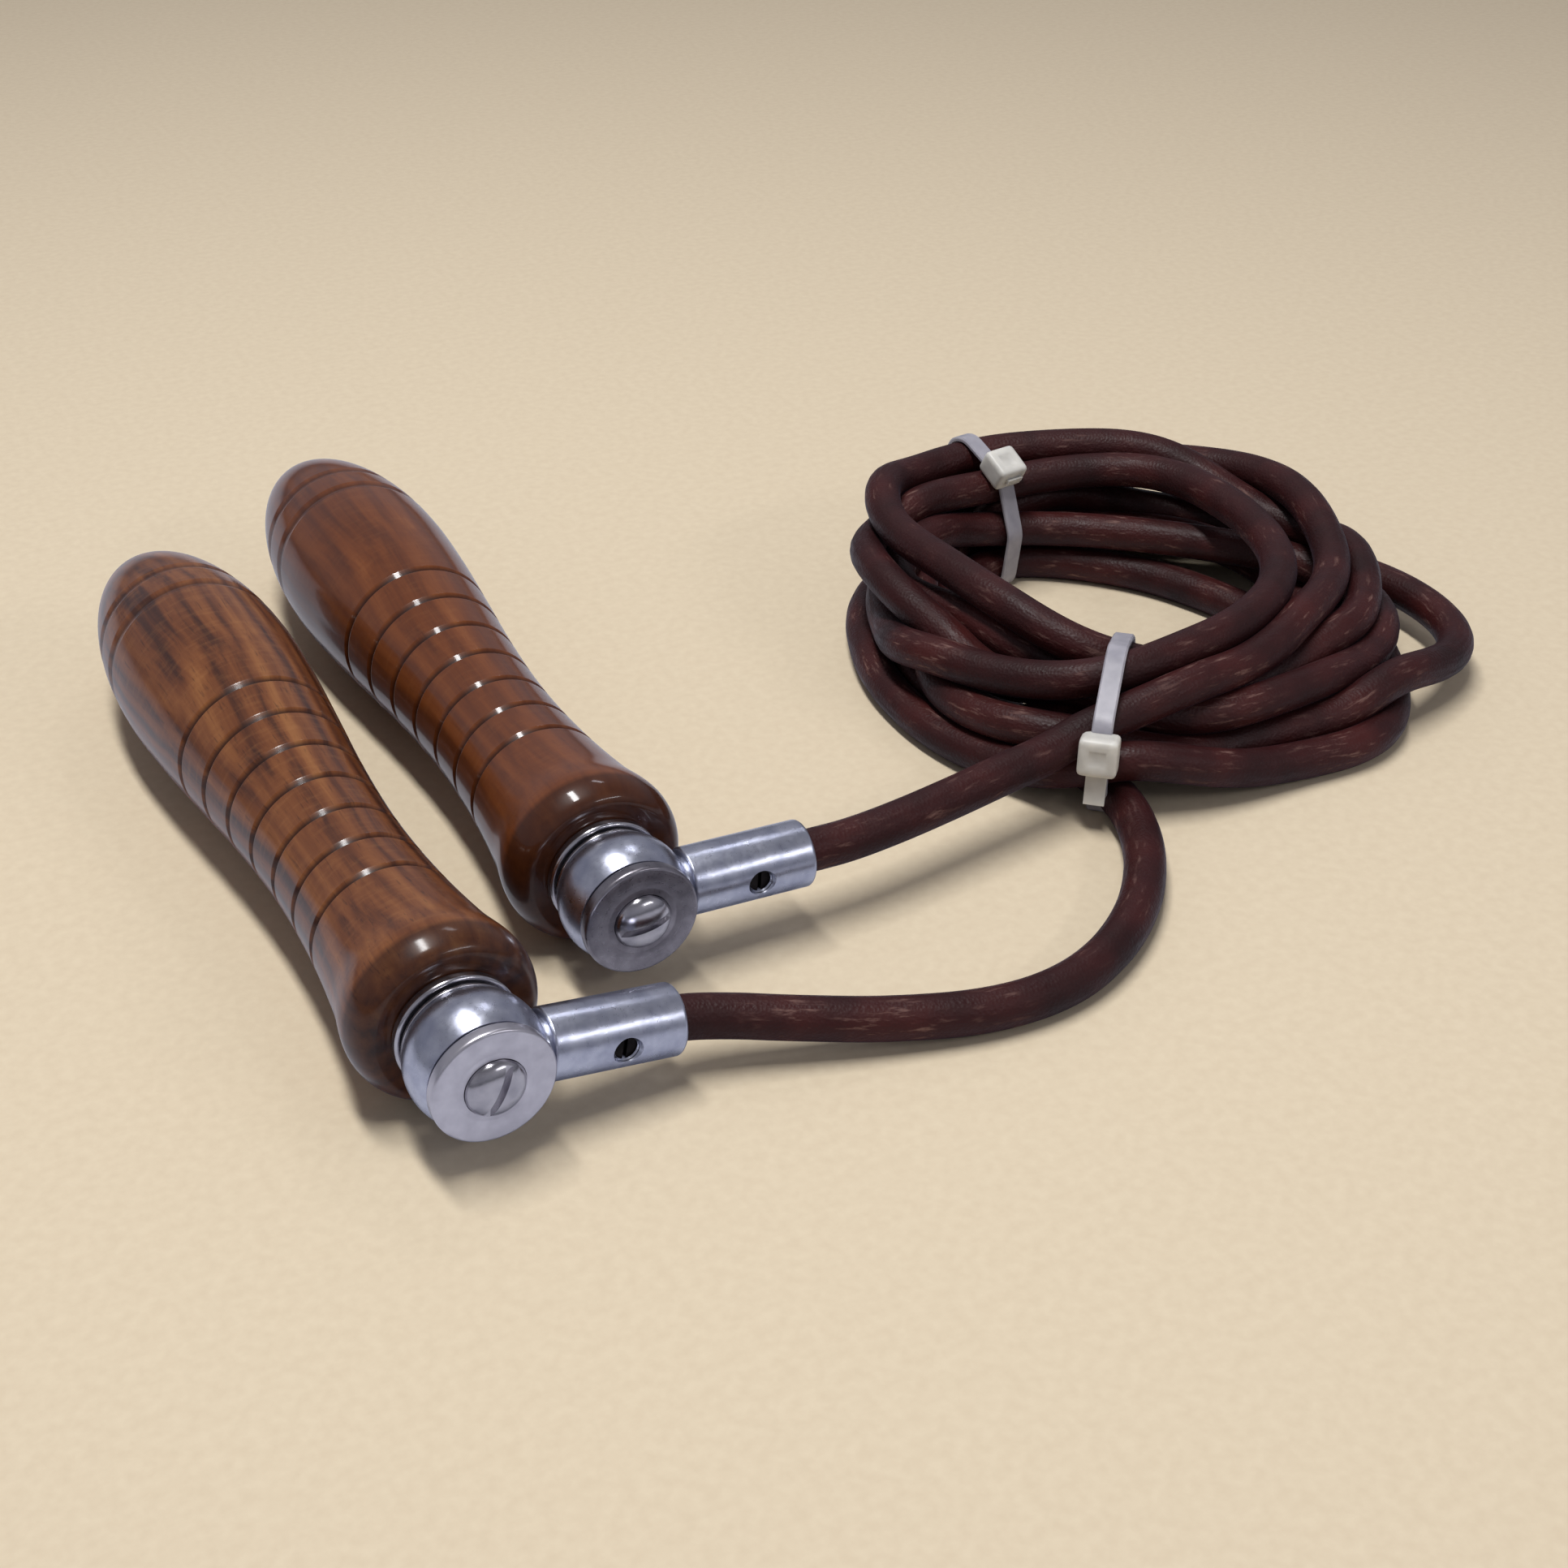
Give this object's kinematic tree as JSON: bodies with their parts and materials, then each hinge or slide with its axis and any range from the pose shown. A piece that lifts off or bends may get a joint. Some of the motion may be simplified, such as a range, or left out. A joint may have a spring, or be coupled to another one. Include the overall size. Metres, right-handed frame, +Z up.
{
  "type": "jump rope",
  "caption": "Leather jump rope wound and tied into a coil, with two turned wooden handles that spin on metal swivels.",
  "frame": {"origin": "middle of the bottom of the two handles with their swivels, on the surface they lie on; the rope is not counted", "axes": "+Y along the handles from the swivels to their rounded ends, +Z up, +X towards the coil"},
  "size_m": [0.2403, 0.2079, 0.032],
  "materials": {
    "wood_a": "clear lacquer over figured dark hardwood",
    "wood_b": "clear lacquer over plain dark hardwood",
    "nickel": "bright nickel plate",
    "polished_nickel": "polished nickel plate",
    "satin_nickel": "satin nickel plate",
    "bearing_steel": "hardened ground steel",
    "dark_steel": "black oxide steel",
    "rope_leather": "waxed round leather",
    "tie_nylon": "natural nylon"
  },
  "bodies": {
    "rope_assembly": {"swivel_barrel_a": "polished_nickel", "rope_ferrule_a": "polished_nickel", "ferrule_set_screw_a": "dark_steel", "rope_lead_a": "rope_leather", "swivel_barrel_b": "polished_nickel", "rope_ferrule_b": "polished_nickel", "ferrule_set_screw_b": "dark_steel", "rope_lead_b": "rope_leather", "rope_coil": "rope_leather", "cable_tie_front": "tie_nylon", "cable_tie_rear": "tie_nylon"},
    "handle_a": {"wooden_handle_a": "wood_a", "collar_ring_a": "nickel", "dust_washer_a": "nickel", "rear_cone_a": "bearing_steel", "spacer_sleeve_a": "bearing_steel", "front_cone_a": "bearing_steel", "end_disc_a": "satin_nickel", "handle_screw_a": "satin_nickel"},
    "balls_a": {"rear_balls_a": "bearing_steel", "front_balls_a": "bearing_steel"},
    "handle_b": {"wooden_handle_b": "wood_b", "collar_ring_b": "nickel", "dust_washer_b": "nickel", "rear_cone_b": "bearing_steel", "spacer_sleeve_b": "bearing_steel", "front_cone_b": "bearing_steel", "end_disc_b": "satin_nickel", "handle_screw_b": "satin_nickel"},
    "balls_b": {"rear_balls_b": "bearing_steel", "front_balls_b": "bearing_steel"}
  },
  "joints": [
    {"name": "handle_a_spin", "type": "hinge", "parent": "rope_assembly", "child": "handle_a", "pos_m": [-0.0253, -0.0902, 0.01456], "axis": [0, 0.9999, 0.012], "continuous": true},
    {"name": "balls_a_orbit", "type": "hinge", "parent": "rope_assembly", "child": "balls_a", "pos_m": [-0.0253, -0.0902, 0.01456], "axis": [0, 0.9999, 0.012], "continuous": true},
    {"name": "handle_b_spin", "type": "hinge", "parent": "rope_assembly", "child": "handle_b", "pos_m": [0.01002, -0.06479, 0.01456], "axis": [0.0349, 0.9993, 0.012], "continuous": true},
    {"name": "balls_b_orbit", "type": "hinge", "parent": "rope_assembly", "child": "balls_b", "pos_m": [0.01002, -0.06479, 0.01456], "axis": [0.0349, 0.9993, 0.012], "continuous": true}
  ],
  "couplings": [
    {"joint": "balls_a_orbit", "follows": "handle_a_spin", "ratio": 0.4242},
    {"joint": "balls_b_orbit", "follows": "handle_b_spin", "ratio": 0.4242}
  ]
}
